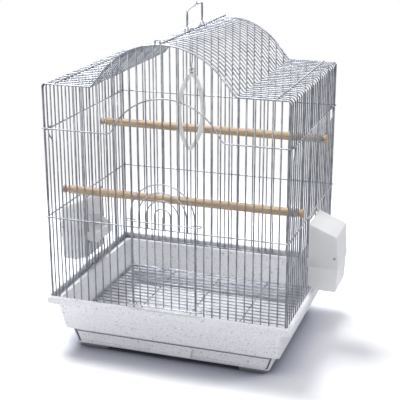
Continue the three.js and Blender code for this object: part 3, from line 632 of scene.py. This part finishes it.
def floor_grate():
    bm = bmesh.new()
    bearer_z = TUB_FLOOR_Z + TUB_FLOOR + CLEARANCE + WIRE_R
    wire_z = bearer_z + WELD
    end_x = 164.35 - WIRE_R
    end_y = (GRATE_WIRES - 1) * GRATE_PITCH / 2
    reach_y = end_y + WIRE_R
    for i in range(GRATE_WIRES):
        y = -end_y + i * GRATE_PITCH
        tube(bm, [(-end_x, y, wire_z), (end_x, y, wire_z)])
        for side in (-1, 0, 1):
            weld(bm, side * BEARER_X, y, bearer_z + WELD / 2)
            if side:
                weld(bm, side * end_x, y, wire_z, 1.0)
    for x in (-BEARER_X, 0, BEARER_X):
        tube(bm, [(x, -reach_y, bearer_z), (x, reach_y, bearer_z)])
    for x in (-end_x, end_x):
        tube(bm, [(x, -reach_y, wire_z), (x, reach_y, wire_z)])
    piece("floor_grate_wires", bm, WIRE, "floor_grate", "grate")


def handle_foot(y):
    """A leg's curl round the ridge wire, from its cut end up to the leg."""
    curl = WIRE_R + HANG_GAP + HANDLE_R
    z0 = RIDGE_WIRE_Z
    curled = [(-curl, y, z0 + 5)] + [(x, y, z) for x, z in arc(0, z0, curl, math.pi, TURN, 14)]
    return curled + [(curl * 0.93, y, z0 + 1.3), (0.4, y, z0 + 7.2), (0.08, y, z0 + 8.4)]


def carry_handle():
    """A bail: two curled feet, a soft front corner, a bowed grip with a small nib, a back corner."""
    bm = bmesh.new()
    top = RIDGE_WIRE_Z + 34
    front_y, back_y, corner = -39, 27, 4
    points = handle_foot(front_y)
    points += [(0, y, z) for y, z in arc(front_y + corner, top - 7, corner, math.pi, QUARTER + 0.12, 8)]
    points += [(0, y, top + rise) for y, rise in HANDLE_BOW]
    points += [(0, y, z) for y, z in arc(back_y - corner, top - corner, corner, QUARTER, 0, 8)]
    points += list(reversed(handle_foot(back_y)))
    tube(bm, points, HANDLE_R, 14)
    piece("carry_handle_wire", bm, HANDLE_WIRE, "carry_handle", "handle")


# Swing
SWING_Y = -18.0
SWING_TOP = RIDGE_WIRE_Z - 61
SWING_HEIGHT = 120
SWING_LEAN = 0.038
RING_HALF = 23
RING_HOLE_HALF = 15.5
RING_WIDTH = 7.5
RING_THICK_HALF = 2.0
RING_EDGE_HALF = 1.3
EYE_R = 1.9
HOLE_Z = SWING_TOP + EYE_R


def swing_hanger():
    """A hook over the ridge wire, a long stem, and a loop through the ring's eye."""
    bm = bmesh.new()
    r = 0.9
    hook = WIRE_R + HANG_GAP + r
    aside = RING_THICK_HALF + CLEARANCE + r
    near = aside - 0.9
    eye = HOLE_Z + EYE_R - CLEARANCE - r
    lug = HOLE_Z + 5
    z0 = RIDGE_WIRE_Z
    line = [(-hook, 0, z0 - hook)]
    line += [(x, 0, z) for x, z in arc(0, z0, hook, math.pi, 0, 12)]
    line += [(hook, 0, z0 - 5), (hook * 0.75, 0, z0 - 6.4), (0.5, 0, z0 - 9.4), (0, 0, z0 - 11)]
    line += [(0, y, z) for y, z in ((0, lug + 9), (-aside * 0.2, lug + 7.4), (-aside * 0.85, lug + 1.8),
                                    (-aside, lug + 0.3), (-aside, eye + 0.9), (-near, eye), (near, eye),
                                    (aside, eye + 0.9), (aside, lug))]
    tube(bm, [(x, SWING_Y + y, z) for x, y, z in line], r)
    piece("swing_hanger_wire", bm, WIRE, "swing_hanger", "swing")


def bezier(a, b, c, d, steps):
    out = []
    for i in range(steps):
        t = i / steps
        s = 1 - t
        out.append(tuple(s ** 3 * p + 3 * s * s * t * q + 3 * s * t * t * u + t ** 3 * w
                         for p, q, u, w in zip(a, b, c, d)))
    return out


def pointed_oval(half, high, low, steps=16):
    middle = (high + low) / 2
    bow = (high - low) * 0.25
    tip = half * 0.33
    line = bezier((0, high), (-tip, high), (-half, middle + bow), (-half, middle), steps)
    line += bezier((-half, middle), (-half, middle - bow), (-tip, low), (0, low), steps)
    line += bezier((0, low), (tip, low), (half, middle - bow), (half, middle), steps)
    line += bezier((half, middle), (half, middle + bow), (tip, high), (0, high), steps)
    return line


def leaned(x, y, z):
    """The ring hangs a little aslant on its eye."""
    high = z - HOLE_Z
    turn, rest = math.sin(SWING_LEAN), math.cos(SWING_LEAN)
    return (x * rest + high * turn, y, HOLE_Z + high * rest - x * turn)


def swing_ring():
    """A pointed oval band with softened edges, and the round eye on its top."""
    bm = bmesh.new()
    high, low = SWING_TOP, SWING_TOP - SWING_HEIGHT
    outer = pointed_oval(RING_HALF, high, low)
    inner = pointed_oval(RING_HOLE_HALF, high - RING_WIDTH, low + RING_WIDTH)
    edge, thick = RING_EDGE_HALF, RING_THICK_HALF
    section = ((0.0, edge), (0.1, thick), (0.9, thick), (1.0, edge),
               (1.0, -edge), (0.9, -thick), (0.1, -thick), (0.0, -edge))
    rings = []
    for share, half in section:
        between = [(p[0] + (q[0] - p[0]) * share, p[1] + (q[1] - p[1]) * share)
                   for p, q in zip(outer, inner)]
        rings.append([leaned(x, SWING_Y + half, z) for x, z in between])
    loft(bm, rings, closed=True)
    piece("swing_ring_moulding", bm, RING, "swing_ring", "swing")
    eye = bmesh.new()
    quarter = [(EYE_R, 1.6), (2.3, thick), (4.6, thick), (5.0, 1.6)]
    profile = quarter + [(r, -y) for r, y in reversed(quarter)]
    circle = circle_points(24)
    loft(eye, [[(r * a, SWING_Y + y, HOLE_Z + r * b) for a, b in circle] for r, y in profile], closed=True)
    piece("swing_ring_eye", eye, RING, "swing_ring", "swing")


# Moulded base
def rounded_ring(half_x, half_y, radius, z, front=None, steps=10):
    """A rounded rectangle at height z; front moves its front edge to another y."""
    front_y = -half_y if front is None else front
    ring = []
    for side, edge, turn in ((1, front_y, -1), (1, half_y, 0), (-1, half_y, 1), (-1, front_y, 2)):
        cx = side * (half_x - radius)
        cy = edge - radius if edge > 0 else edge + radius
        for k in range(steps + 1):
            a = (turn + k / steps) * QUARTER
            ring.append((cx + radius * math.cos(a), cy + radius * math.sin(a), z))
    return ring


def solid(name, rings):
    bm = bmesh.new()
    loft(bm, rings)
    bmesh.ops.recalc_face_normals(bm, faces=bm.faces)
    mesh = bpy.data.meshes.new(name)
    bm.to_mesh(mesh)
    bm.free()
    obj = bpy.data.objects.new(name, mesh)
    scene.collection.objects.link(obj)
    return obj


def apply_modifiers(obj):
    bpy.context.view_layer.update()
    depsgraph = bpy.context.evaluated_depsgraph_get()
    mesh = bpy.data.meshes.new_from_object(obj.evaluated_get(depsgraph))
    obj.modifiers.clear()
    obj.data = mesh


def combine(target, other, operation):
    """Adds or cuts another solid, which is used up."""
    mod = target.modifiers.new("combine", "BOOLEAN")
    mod.operation = operation
    mod.solver = "EXACT"
    mod.object = other
    apply_modifiers(target)
    bpy.data.objects.remove(other)


def moulding(obj, mat, node, body, bevel, segments=2):
    """Softens the edges of a solid in millimetres, scales it to metres and puts it in place of its part."""
    mod = obj.modifiers.new("edges", "BEVEL")
    mod.width = bevel
    mod.segments = segments
    mod.limit_method = "ANGLE"
    mod.angle_limit = math.radians(32)
    mod.use_clamp_overlap = True
    apply_modifiers(obj)
    for vertex in obj.data.vertices:
        vertex.co *= MM
    obj.data.materials.clear()
    obj.data.materials.append(mat)
    for polygon in obj.data.polygons:
        polygon.use_smooth = True
    obj.data.set_sharp_from_angle(angle=math.radians(35))
    finish_piece(obj, node, body)


RIM_GAP = 1.4
RIM_WIDTH = 6
RIM_CORNER = 8
RIM_EDGE = 1.8
LEDGE_CORNER = 3
LEDGE_WIDTH = 12.5
WALL = 2.6
WALL_CORNER = 4.5
RIM_IN = (HALF_W + WIRE_R + RIM_GAP, HALF_D + WIRE_R + RIM_GAP)
RIM_OUT = (RIM_IN[0] + RIM_WIDTH, RIM_IN[1] + RIM_WIDTH)
WALL_TOP = (RIM_OUT[0] - LEDGE_WIDTH, RIM_OUT[1] - LEDGE_WIDTH)
WALL_FOOT = (WALL_TOP[0] - 7, WALL_TOP[1] - 9)
WINDOW = (WALL_FOOT[0] - 17, WALL_FOOT[1] - 17)
HOUSING_FOOT = (152, 122)
HOUSING_TOP = (161, 125)
HOUSING_WALL = 2.4
HOUSING_CORNER = 4
HOUSING_FOOT_Z = 8
HOUSING_TOP_Z = 35.25
DRAWER_FLOOR_Z = HOUSING_FOOT_Z + 2
HOUSING_SLOPE = (HOUSING_TOP[0] - HOUSING_FOOT[0]) / (HOUSING_TOP_Z - HOUSING_FOOT_Z)
SPACE_TOP_X = HOUSING_TOP[0] - HOUSING_WALL - HOUSING_SLOPE * TUB_FLOOR
FOOT_MIDDLE = (125, 104)
FOOT_HALF = (21, 12)
FOOT_CORNER = 2.5


def inset(size, by):
    return (size[0] - by, size[1] - by)


def tub_shell():
    """The tub's wall, up over the rounded rim, and down inside to the ledge and the floor."""
    bottom = RIM_TOP - 12
    turns = [k / 4 * QUARTER for k in range(5)]
    rings = [rounded_ring(*WALL_FOOT, WALL_CORNER, TUB_FLOOR_Z),
             rounded_ring(*WALL_TOP, WALL_CORNER, bottom),
             rounded_ring(*inset(RIM_OUT, 1), RIM_CORNER, bottom),
             rounded_ring(*RIM_OUT, RIM_CORNER, bottom + 1)]
    rings += [rounded_ring(*inset(RIM_OUT, RIM_EDGE * math.sin(a)), RIM_CORNER,
                           RIM_TOP - RIM_EDGE + RIM_EDGE * math.cos(QUARTER - a)) for a in turns]
    rings += [rounded_ring(*inset(RIM_IN, RIM_EDGE * (math.sin(a) - 1)), LEDGE_CORNER,
                           RIM_TOP - RIM_EDGE * (1 - math.cos(a))) for a in turns]
    rings += [rounded_ring(*RIM_IN, LEDGE_CORNER, LEDGE_Z),
              rounded_ring(*inset(WALL_TOP, WALL), WALL_CORNER - WALL, LEDGE_Z),
              rounded_ring(*inset(WALL_FOOT, WALL), WALL_CORNER - WALL, TUB_FLOOR_Z + TUB_FLOOR)]
    return solid("tub_moulding", rings)


def base_tub():
    tub = tub_shell()
    combine(tub, solid("housing", [rounded_ring(*HOUSING_FOOT, HOUSING_CORNER, HOUSING_FOOT_Z),
                                   rounded_ring(*HOUSING_TOP, HOUSING_CORNER, HOUSING_TOP_Z)]), "UNION")
    mouth = -HOUSING_TOP[1] - 4
    space_foot = rounded_ring(*inset(HOUSING_FOOT, HOUSING_WALL), HOUSING_WALL, DRAWER_FLOOR_Z, mouth)
    space_top = rounded_ring(SPACE_TOP_X, HOUSING_TOP[1] - HOUSING_WALL, HOUSING_WALL, TUB_FLOOR_Z, mouth)
    combine(tub, solid("space", [space_foot, space_top]), "DIFFERENCE")
    combine(tub, solid("window", [rounded_ring(*WINDOW, WALL_CORNER, z) for z in (30, 40.5)]), "DIFFERENCE")
    outline = rounded_ring(*FOOT_HALF, FOOT_CORNER, 0, steps=4)
    for sx in (-1, 1):
        for sy in (-1, 1):
            foot = [[(sx * FOOT_MIDDLE[0] + x, sy * FOOT_MIDDLE[1] + y, z) for x, y, _ in outline]
                    for z in (0, HOUSING_FOOT_Z + 1)]
            combine(tub, solid("foot", foot), "UNION")
    moulding(tub, TUB, "base_tub", "base", 0.7)


def drawer():
    """A tray with two lips along its front and a finger pull whose ends slant and whose face leans."""
    face, back, corner = -121, 119.0, 2.4
    foot_x, top_x = 148.0, SPACE_TOP_X - 1.6
    floor, top = 10.3, 32.6
    wall, front = 2, 3
    tray_floor = floor + 1.8
    sunk = face + front / 2
    tray = solid("drawer_moulding", [rounded_ring(foot_x, back, corner, floor, face),
                                     rounded_ring(top_x, back, corner, top, face)])
    inside = back - wall
    hollow = solid("hollow", [rounded_ring(foot_x - wall, inside, corner, tray_floor, face + front),
                              rounded_ring(top_x - wall, inside, corner, top + 4, face + front)])
    combine(tray, hollow, "DIFFERENCE")
    for low, high, out in ((24.8, 27.2, 2.2), (floor, floor + 2.2, 1.0)):
        low_x, high_x = (foot_x + (top_x - foot_x) * (z - floor) / (top - floor) - 2.6 for z in (low, high))
        lip = [(-low_x, low), (low_x, low), (high_x, high), (-high_x, high)]
        combine(tray, solid("lip", [[(x, y, z) for x, z in lip] for y in (face - out, sunk)]), "UNION")
    pull_foot, pull_top, pull_crest = (31, floor), (37, floor + 18), (34, floor + 14.5)
    back_face = [(-pull_foot[0], sunk, floor), (pull_foot[0], sunk, floor),
                 (pull_top[0], sunk, pull_top[1]), (-pull_top[0], sunk, pull_top[1])]
    front_face = [(-pull_foot[0], face - 3, floor), (pull_foot[0], face - 3, floor),
                  (pull_crest[0], face - 2.2, pull_crest[1]), (-pull_crest[0], face - 2.2, pull_crest[1])]
    combine(tray, solid("pull", [front_face, back_face]), "UNION")
    moulding(tray, DRAWER, "drawer", "drawer", 0.5)


# Feeders
def feeder_point(side, x, y, z):
    """A feeder's own place, +X away from the wall and z from the rim, in the cage's frame."""
    if side > 0:
        return (HALF_W + x, FEEDER_Y + y, RIM_TOP + z)
    return (-HALF_W - x, FEEDER_Y - y, RIM_TOP + z)


def slab(side, outline, low, high):
    """A solid with the same outline in x and z from one y of the feeder to another."""
    return solid("slab", [[feeder_point(side, x, y, z) for x, z in outline] for y in (low, high)])


INNER = WIRE_R + CLEARANCE
FEEDER_WALL = 1.8
FEEDER_HALF = 35.4
CUP_HALF = FEEDER_HALF - FEEDER_WALL - CLEARANCE
HOOD_REACH = 46.6
HOOD_FOOT = 43
PIN = (41.0, 60.0)
EAR_R = 2.1
TRAY_HALF = 28.35
TRAY_REACH = 15.0
TRAY_FOOT = 38
LUG_REACH = 7
LUG_FOOT = 43
LUG_TOP = 56


def feeder_cup(side, label):
    """A cup outside the wall and a tray inside it, with ears for the pins and tongues behind the wires."""
    wall = FEEDER_WALL
    rim, floor, reach = 41, 6, 45.5
    cut_top = 68
    outline = [(INNER, rim), (INNER, 12), (20, floor), (reach - wall, floor), (reach, rim)]
    cup = slab(side, outline, -CUP_HALF, CUP_HALF)
    cup.name = label + "_feeder_cup_moulding"
    inside = [(INNER + wall, rim + 4), (INNER + wall, 12.9), (20.9, floor + wall),
              (reach - 2 * wall, floor + wall), (reach - wall, rim + 4)]
    combine(cup, slab(side, inside, wall - CUP_HALF, CUP_HALF - wall), "DIFFERENCE")
    tray = [(INNER + wall, TRAY_FOOT), (INNER + wall, 64), (-TRAY_REACH, 54), (-TRAY_REACH, TRAY_FOOT)]
    inside = [(INNER + wall + 4, TRAY_FOOT + wall), (INNER + wall + 4, cut_top),
              (wall - TRAY_REACH, cut_top), (wall - TRAY_REACH, TRAY_FOOT + wall)]
    combine(cup, slab(side, tray, -TRAY_HALF, TRAY_HALF), "UNION")
    combine(cup, slab(side, inside, wall - TRAY_HALF, TRAY_HALF - wall), "DIFFERENCE")
    skirt = math.hypot(HOOD_REACH - PIN[0], PIN[1] - HOOD_FOOT) + 1
    high = -math.pi + math.asin(EAR_R / skirt)
    ear = [(INNER, rim - wall), (PIN[0], rim - wall)]
    ear += arc(*PIN, skirt, -QUARTER, high, 10)
    ear += arc(*PIN, EAR_R, -QUARTER, QUARTER, 10)
    ear += [(INNER, PIN[1] + EAR_R)]
    lug = [(INNER + wall, LUG_FOOT - wall), (INNER + wall, LUG_TOP), (-LUG_REACH, LUG_TOP - wall),
           (-LUG_REACH, LUG_FOOT), (INNER, LUG_FOOT - wall)]
    tongue = [(-INNER, LUG_TOP - wall), (-INNER, LUG_FOOT),
              (-INNER - wall, LUG_FOOT), (-INNER - wall, LUG_TOP - wall)]
    face = CUP_HALF - wall
    added = ((ear, face, CUP_HALF), (lug, face, CUP_HALF), (tongue, face - 2.8, face + 0.35))
    for turn in (-1, 1):
        for shape, low, top in added:
            combine(cup, slab(side, shape, turn * low, turn * top), "UNION")
    moulding(cup, FEEDER, label + "_feeder_cup", "cage", 0.45)


def feeder_hood(side, label):
    """A sloping roof with a face and two cheeks, whose edges by the cage are rounded about the pins."""
    wall = FEEDER_WALL
    top_x, outer = 43.3, 93.2
    swing = PIN[0] - INNER
    foot = math.asin((PIN[1] - HOOD_FOOT) / swing)
    body = [(HOOD_REACH, HOOD_FOOT), (top_x, outer), (INNER, HOOD_TOP)]
    body += arc(*PIN, swing, math.pi, math.pi + foot, 8)
    hood = slab(side, body, -FEEDER_HALF, FEEDER_HALF)
    hood.name = label + "_feeder_hood_moulding"
    slope = (HOOD_TOP - outer) / (top_x - INNER)
    hollow = [(HOOD_REACH - wall, HOOD_FOOT - 4), (top_x - wall, outer - wall),
              (INNER - 4, HOOD_TOP - wall + 4 * slope), (INNER - 4, HOOD_FOOT - 4)]
    combine(hood, slab(side, hollow, wall - FEEDER_HALF, FEEDER_HALF - wall), "DIFFERENCE")
    moulding(hood, FEEDER, label + "_feeder_hood", label + "_hood", 0.8, 3)


def hood_pin(side, end, node, name):
    """A domed head on a shank through the hood's cheek and the cup's ear."""
    bm = bmesh.new()
    face = CUP_HALF - FEEDER_WALL
    outer = FEEDER_HALF + CLEARANCE
    profile = [(1.2, face), (1.2, outer), (2.3, outer), (2.3, outer + 0.4),
               (1.9, outer + 0.75), (1.0, outer + 0.9)]
    loft(bm, [[feeder_point(side, PIN[0] + r * c, end * y, PIN[1] + r * s) for c, s in circle_points(16)]
              for r, y in profile])
    piece(name, bm, PIN_GREY, node, "cage")


# Perches
def perch(y, z, name, seed):
    """A dowel that is necked at each wall, with softened ends."""
    rng = random.Random(seed)
    bm = bmesh.new()
    r, neck_r, neck = 6.3, 4.7, 3.0
    end = HALF_W + neck + 3.2
    outside, inside = HALF_W + neck, HALF_W - neck
    profile = [(end, r - 1.1), (end - 0.3, r - 0.5), (end - 0.8, r - 0.1), (end - 1.3, r),
               (outside + 0.4, r), (outside, r - 0.3),
               (outside - 0.9, neck_r + 0.1), (outside - 1.3, neck_r),
               (inside + 1.3, neck_r), (inside + 0.9, neck_r + 0.1), (inside, r - 0.3), (inside - 0.4, r)]
    middle = [(x, r + rng.uniform(-0.05, 0.05)) for x in range(160, -161, -20)]
    full = profile + middle + [(-x, size) for x, size in reversed(profile)]
    loft(bm, [[(x, y + size * c, z + size * s) for c, s in circle_points(28)] for x, size in full])
    obj = piece(name + "_dowel", bm, BIRCH, name, "cage")
    obj.data.set_sharp_from_angle(angle=math.radians(50))


end_panel(-HALF_D, -1, True)
end_panel(HALF_D, 1, False)
side_panel(1)
side_panel(-1)
roof()
lift_door()
floor_grate()
carry_handle()
swing_hanger()
swing_ring()
base_tub()
drawer()
for label, side in (("left", -1), ("right", 1)):
    feeder_cup(side, label)
    feeder_hood(side, label)
    hood_pin(side, -side, label + "_hood_pin_front", label + "_pin_front_turned")
    hood_pin(side, side, label + "_hood_pin_back", label + "_pin_back_turned")
perch(66, RIM_TOP + 219, "upper_perch", 3)
perch(-78, RIM_TOP + 147, "lower_perch", 4)


# Studio, in metres
FLOOR_COLOUR = (0.88, 0.88, 0.91)
FLOOR_MIRRORED = (0.42, 0.43, 0.46)
FLOOR_SEEN = (1.0, 1.0, 1.03)
FLOOR_HALF = 9
SHADOW_REACH = 0.07
SHADOW_STOPS = [(0.2, (0.12, 0.125, 0.17)), (0.55, (0.60, 0.61, 0.67)), (0.92, grey(1))]
FADE_START = 0.45
FADE_END = 0.95
SKY_COLOUR = (0.93, 0.95, 1.0)
SKY_STRENGTH = 0.16
SKY_MIRRORED = 1.9
BACKDROP_MIRRORED = 2.0


def floor_material():
    """A pale matt floor, which the camera sees turn white away from the cage."""
    mat = bpy.data.materials.new("studio_floor")
    mat.use_nodes = True
    tree = mat.node_tree
    tree.nodes.remove(tree.nodes["Principled BSDF"])
    rays = tree.nodes.new("ShaderNodeLightPath")
    shadow = ramp(tree, shut_in(tree, SHADOW_REACH), SHADOW_STOPS)
    seen = mixed(tree, 1.0, shadow, FLOOR_SEEN, "MULTIPLY")
    unseen = mixed(tree, rays.outputs["Is Glossy Ray"], FLOOR_COLOUR, FLOOR_MIRRORED)
    matt = tree.nodes.new("ShaderNodeBsdfDiffuse")
    tree.links.new(mixed(tree, rays.outputs["Is Camera Ray"], unseen, seen), matt.inputs["Color"])
    white = tree.nodes.new("ShaderNodeEmission")
    white.inputs["Strength"].default_value = 1.0
    place = tree.nodes.new("ShaderNodeTexCoord")
    reach = tree.nodes.new("ShaderNodeVectorMath")
    reach.operation = "LENGTH"
    tree.links.new(place.outputs["Object"], reach.inputs[0])
    far = spread(tree, reach.outputs["Value"], 0.0, 1.0, FADE_START, FADE_END, "SMOOTHSTEP")
    share = maths(tree, "MULTIPLY", far, rays.outputs["Is Camera Ray"])
    blend = mixed_shaders(tree, share, matt.outputs[0], white.outputs[0])
    tree.links.new(blend, tree.nodes["Material Output"].inputs["Surface"])
    return mat


def studio_floor():
    mesh = bpy.data.meshes.new("floor")
    corners = [(FLOOR_HALF * x, FLOOR_HALF * y, 0) for x, y in ((-1, -1), (1, -1), (1, 1), (-1, 1))]
    mesh.from_pydata(corners, [], [(0, 1, 2, 3)])
    floor = bpy.data.objects.new("studio_floor", mesh)
    scene.collection.objects.link(floor)
    mesh.materials.append(floor_material())


def background(tree, colour, strength):
    node = tree.nodes.new("ShaderNodeBackground")
    fill(tree, node.inputs["Color"], colour)
    fill(tree, node.inputs["Strength"], strength)
    return node.outputs[0]


def towards(tree, direction):
    """How far a ray of the world points in a direction."""
    place = tree.nodes.new("ShaderNodeTexCoord")
    node = tree.nodes.new("ShaderNodeVectorMath")
    node.operation = "DOT_PRODUCT"
    node.inputs[1].default_value = direction
    tree.links.new(place.outputs["Generated"], node.inputs[0])
    return node.outputs["Value"]


def studio_world():
    """White for the camera, dim for the light, and bright above and behind for what is mirrored."""
    world = bpy.data.worlds.new("studio")
    scene.world = world
    world.use_nodes = True
    tree = world.node_tree
    tree.nodes.remove(tree.nodes["Background"])
    sky = spread(tree, towards(tree, (-0.1, -0.5, 0.86)), SKY_STRENGTH, SKY_MIRRORED, 0.3, 0.9)
    backdrop = spread(tree, towards(tree, (0, 1, 0)), 0.0, BACKDROP_MIRRORED, 0.55, 0.85)
    mirrored = background(tree, grey(1.0), maths(tree, "MAXIMUM", sky, backdrop))
    path = tree.nodes.new("ShaderNodeLightPath")
    lighting = background(tree, SKY_COLOUR, SKY_STRENGTH)
    unseen = mixed_shaders(tree, path.outputs["Is Glossy Ray"], lighting, mirrored)
    blend = mixed_shaders(tree, path.outputs["Is Camera Ray"], unseen, background(tree, grey(1.0), 1.0))
    tree.links.new(blend, tree.nodes["World Output"].inputs["Surface"])


def area_light(name, place, target, size, power):
    light = bpy.data.lights.new(name, "AREA")
    light.shape = "DISK"
    light.size = size
    light.energy = power
    obj = bpy.data.objects.new(name, light)
    scene.collection.objects.link(obj)
    obj.location = place
    obj.rotation_euler = (Vector(target) - Vector(place)).to_track_quat("-Z", "Y").to_euler()


studio_floor()
studio_world()
area_light("key", (-0.72, 0.36, 2.06), (0, 0, 0.15), 1.2, 64)
area_light("high_front", (0.35, -1.3, 2.2), (0, 0, 0.3), 0.5, 5)
area_light("front", (0.2, -2.6, 0.5), (0, 0, 0.2), 1.0, 8)
area_light("side", (2.1, 0.3, 1.75), (0, 0, 0.25), 0.9, 29)
area_light("left", (-1.5, -1.1, 0.6), (-0.21, 0.0, 0.18), 0.7, 6.5)

camera_data = bpy.data.cameras.new("camera")
camera = bpy.data.objects.new("camera", camera_data)
scene.collection.objects.link(camera)
camera.location = (0.4882, -1.4157, 0.7099)
camera.rotation_euler = (QUARTER - 0.319, 0.002, 0.328)
camera_data.lens = 92.2
camera_data.sensor_width = 36
camera_data.clip_end = 50
scene.camera = camera
scene.view_settings.view_transform = "Standard"
